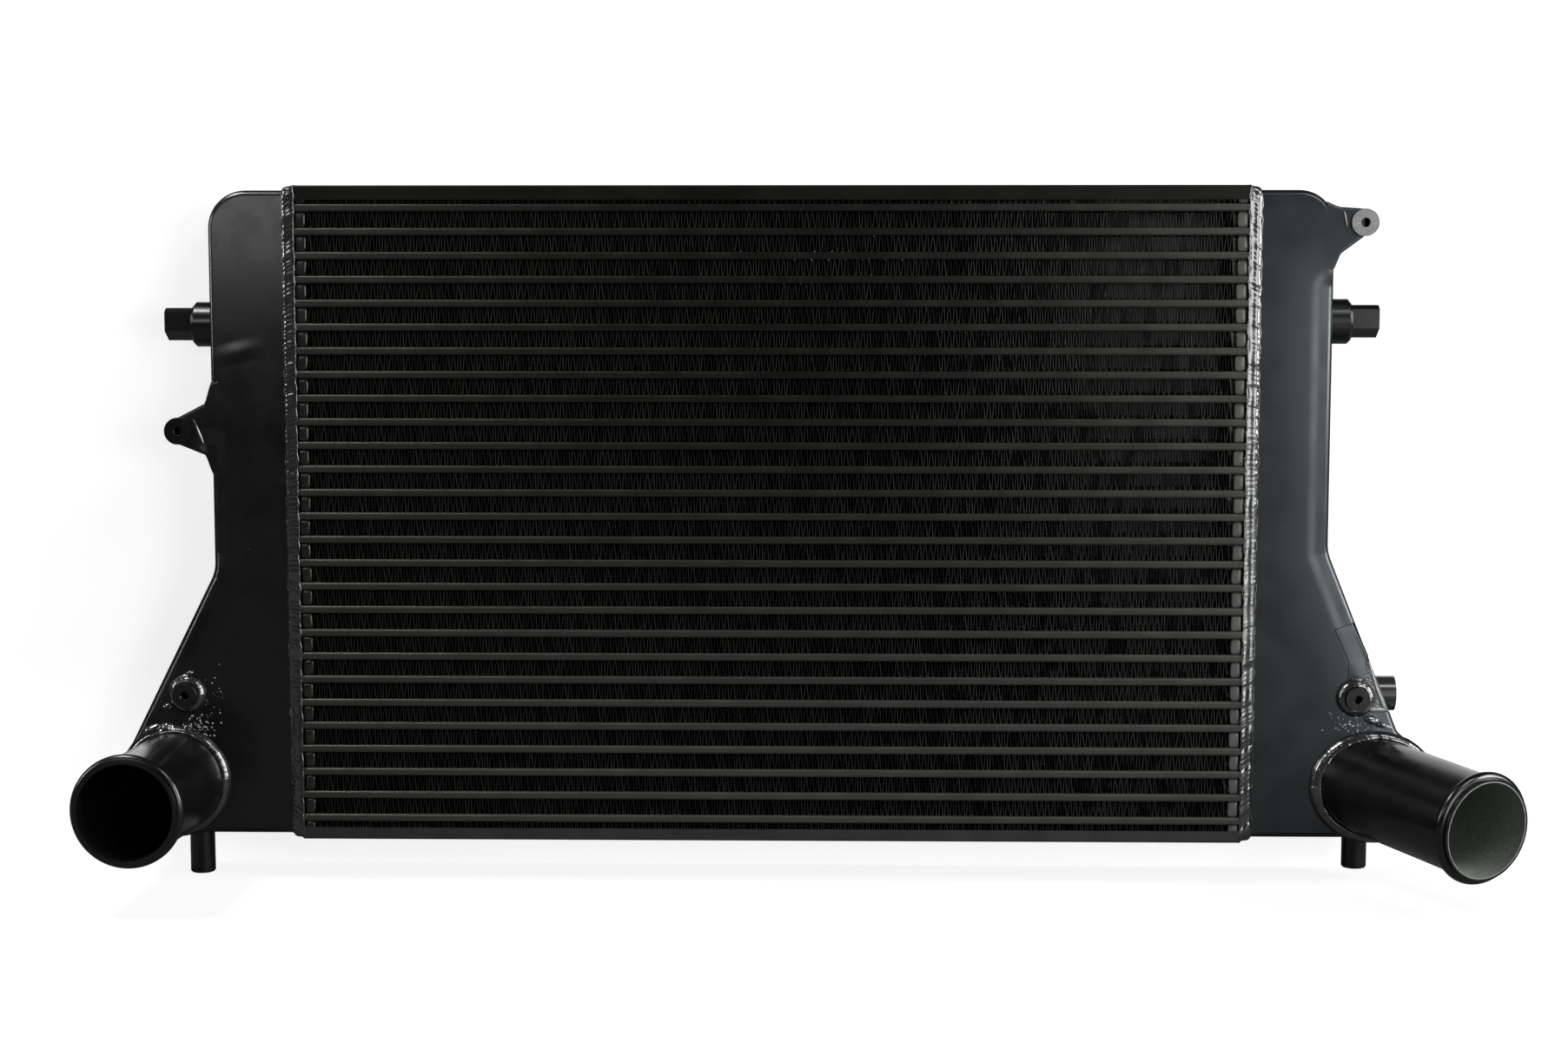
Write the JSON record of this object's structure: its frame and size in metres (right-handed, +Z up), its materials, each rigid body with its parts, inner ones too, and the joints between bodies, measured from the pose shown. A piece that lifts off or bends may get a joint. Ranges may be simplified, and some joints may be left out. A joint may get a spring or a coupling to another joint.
{
  "type": "intercooler",
  "caption": "Bar-and-plate charge air cooler with a finned core, welded side tanks, forward hose pipes, locating pins and threaded bosses.",
  "frame": {"origin": "midway between the axes of the two lower locating pins, at the tanks' undersides", "axes": "+X from the left tank to the right tank, +Y from the pipe side to the back, +Z up as installed"},
  "size_m": [0.8857, 0.1562, 0.445],
  "materials": {
    "powder_coat": "satin black powder coat",
    "core_coat": "satin black paint",
    "mill_aluminium": "bare"
  },
  "bodies": {
    "root": {"charge_tube_01": "core_coat", "charge_tube_02": "core_coat", "charge_tube_03": "core_coat", "charge_tube_04": "core_coat", "charge_tube_05": "core_coat", "charge_tube_06": "core_coat", "charge_tube_07": "core_coat", "charge_tube_08": "core_coat", "charge_tube_09": "core_coat", "charge_tube_10": "core_coat", "charge_tube_11": "core_coat", "charge_tube_12": "core_coat", "charge_tube_13": "core_coat", "charge_tube_14": "core_coat", "charge_tube_15": "core_coat", "charge_tube_16": "core_coat", "charge_tube_17": "core_coat", "charge_tube_18": "core_coat", "charge_tube_19": "core_coat", "charge_tube_20": "core_coat", "charge_tube_21": "core_coat", "charge_tube_22": "core_coat", "charge_tube_23": "core_coat", "charge_tube_24": "core_coat", "charge_tube_25": "core_coat", "charge_tube_26": "core_coat", "charge_tube_27": "core_coat", "cooling_fins": "core_coat", "header_bars_left": "core_coat", "header_bars_right": "core_coat", "top_side_plate": "core_coat", "bottom_side_plate": "core_coat", "tank_left": "powder_coat", "tank_right": "powder_coat", "core_weld_left": "powder_coat", "core_weld_right": "powder_coat", "pipe_left": "powder_coat", "pipe_right": "powder_coat", "pipe_weld_left": "powder_coat", "pipe_weld_right": "powder_coat", "side_peg_left": "powder_coat", "side_peg_right": "powder_coat", "ear_boss_left": "powder_coat", "ear_boss_right": "powder_coat", "ear_plate_left": "powder_coat", "ear_plate_right": "powder_coat", "lower_boss_left": "powder_coat", "lower_boss_right": "powder_coat", "boss_weld_left": "powder_coat", "boss_weld_right": "powder_coat", "lower_pin_left": "powder_coat", "lower_pin_right": "powder_coat", "sensor_boss": "powder_coat", "corner_patch": "powder_coat", "turbulators": "mill_aluminium"}
  },
  "joints": []
}
